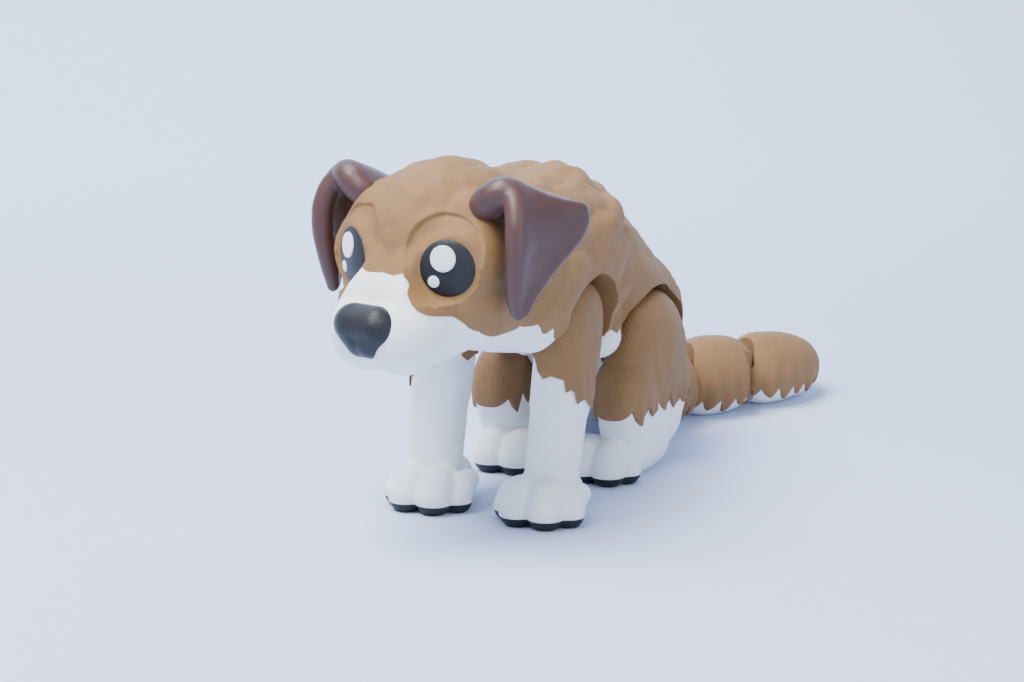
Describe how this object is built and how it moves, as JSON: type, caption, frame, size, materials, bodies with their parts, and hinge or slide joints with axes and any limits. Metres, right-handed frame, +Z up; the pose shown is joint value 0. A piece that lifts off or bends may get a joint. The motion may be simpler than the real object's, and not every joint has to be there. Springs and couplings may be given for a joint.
{
  "type": "articulated toy dog",
  "caption": "Free-standing articulated toy puppy with a turning and nodding head, a hinged waist, swinging legs and a bending segmented tail.",
  "frame": {"origin": "middle of the bounding box in plan, on the ground plane under the paws", "axes": "+Z up; -Y the way the body faces, +Y towards the tail; +X the puppy's left side. At rest the head is turned 12.5 degrees to the puppy's right and the tail bends to its left."},
  "size_m": [0.0643, 0.1954, 0.084],
  "materials": {
    "tan_plastic": "matte printed plastic with fine layer lines",
    "white_plastic": "matte printed plastic with fine layer lines",
    "brown_plastic": "smooth silky plastic",
    "black_plastic": "satin plastic"
  },
  "bodies": {
    "torso_front": {"back_shell": "tan_plastic", "chest": "white_plastic"},
    "torso_rear": {"rump_shell": "tan_plastic", "belly": "white_plastic"},
    "neck_link": {"neck_link": "white_plastic"},
    "head": {"head_cap": "tan_plastic", "muzzle": "white_plastic", "nose": "black_plastic", "left_eye": "black_plastic", "right_eye": "black_plastic", "left_eye_spot": "white_plastic", "left_eye_small_spot": "white_plastic", "right_eye_spot": "white_plastic", "right_eye_small_spot": "white_plastic", "left_ear": "brown_plastic", "right_ear": "brown_plastic"},
    "front_leg_left": {"left_foreleg_fur": "tan_plastic", "left_foreleg_sock": "white_plastic", "left_foreleg_sole": "black_plastic"},
    "front_leg_right": {"right_foreleg_fur": "tan_plastic", "right_foreleg_sock": "white_plastic", "right_foreleg_sole": "black_plastic"},
    "rear_leg_left": {"left_thigh_fur": "tan_plastic", "left_rear_sock": "white_plastic", "left_rear_sole": "black_plastic"},
    "rear_leg_right": {"right_thigh_fur": "tan_plastic", "right_rear_sock": "white_plastic", "right_rear_sole": "black_plastic"},
    "tail_1": {"tail_1_fur": "tan_plastic", "tail_1_base": "white_plastic"},
    "tail_2": {"tail_2_fur": "tan_plastic", "tail_2_base": "white_plastic"},
    "tail_3": {"tail_3_fur": "tan_plastic", "tail_3_base": "white_plastic"}
  },
  "joints": [
    {"name": "neck_turn", "type": "hinge", "parent": "torso_front", "child": "neck_link", "pos_m": [-0.0005, -0.0634, 0.063], "axis": [0, 0, 1], "range_deg": [-9, 32]},
    {"name": "neck_nod", "type": "hinge", "parent": "neck_link", "child": "head", "pos_m": [-0.0005, -0.0634, 0.063], "axis": [0.9763, -0.2164, 0], "range_deg": [-8, 4]},
    {"name": "waist_turn", "type": "hinge", "parent": "torso_front", "child": "torso_rear", "pos_m": [-0.0005, -0.0114, 0.0515], "axis": [0, 0, 1], "range_deg": [-12, 12]},
    {"name": "shoulder_left", "type": "hinge", "parent": "torso_front", "child": "front_leg_left", "pos_m": [0.0095, -0.03639, 0.044], "axis": [1, 0, 0], "range_deg": [-20, 20]},
    {"name": "shoulder_right", "type": "hinge", "parent": "torso_front", "child": "front_leg_right", "pos_m": [-0.0105, -0.03639, 0.044], "axis": [1, 0, 0], "range_deg": [-20, 20]},
    {"name": "hip_left", "type": "hinge", "parent": "torso_rear", "child": "rear_leg_left", "pos_m": [0.0095, 0.0066, 0.0275], "axis": [1, 0, 0], "range_deg": [-12, 12]},
    {"name": "hip_right", "type": "hinge", "parent": "torso_rear", "child": "rear_leg_right", "pos_m": [-0.0105, 0.0066, 0.0275], "axis": [1, 0, 0], "range_deg": [-12, 12]},
    {"name": "tail_1_turn", "type": "hinge", "parent": "torso_rear", "child": "tail_1", "pos_m": [-0.0005, 0.03161, 0.01], "axis": [0, 0, 1], "range_deg": [-9, 22]},
    {"name": "tail_2_turn", "type": "hinge", "parent": "tail_1", "child": "tail_2", "pos_m": [0.00235, 0.05191, 0.01], "axis": [0, 0, 1], "range_deg": [-5, 35]},
    {"name": "tail_3_turn", "type": "hinge", "parent": "tail_2", "child": "tail_3", "pos_m": [0.0126, 0.06966, 0.01], "axis": [0, 0, 1], "range_deg": [-20, 20]}
  ]
}
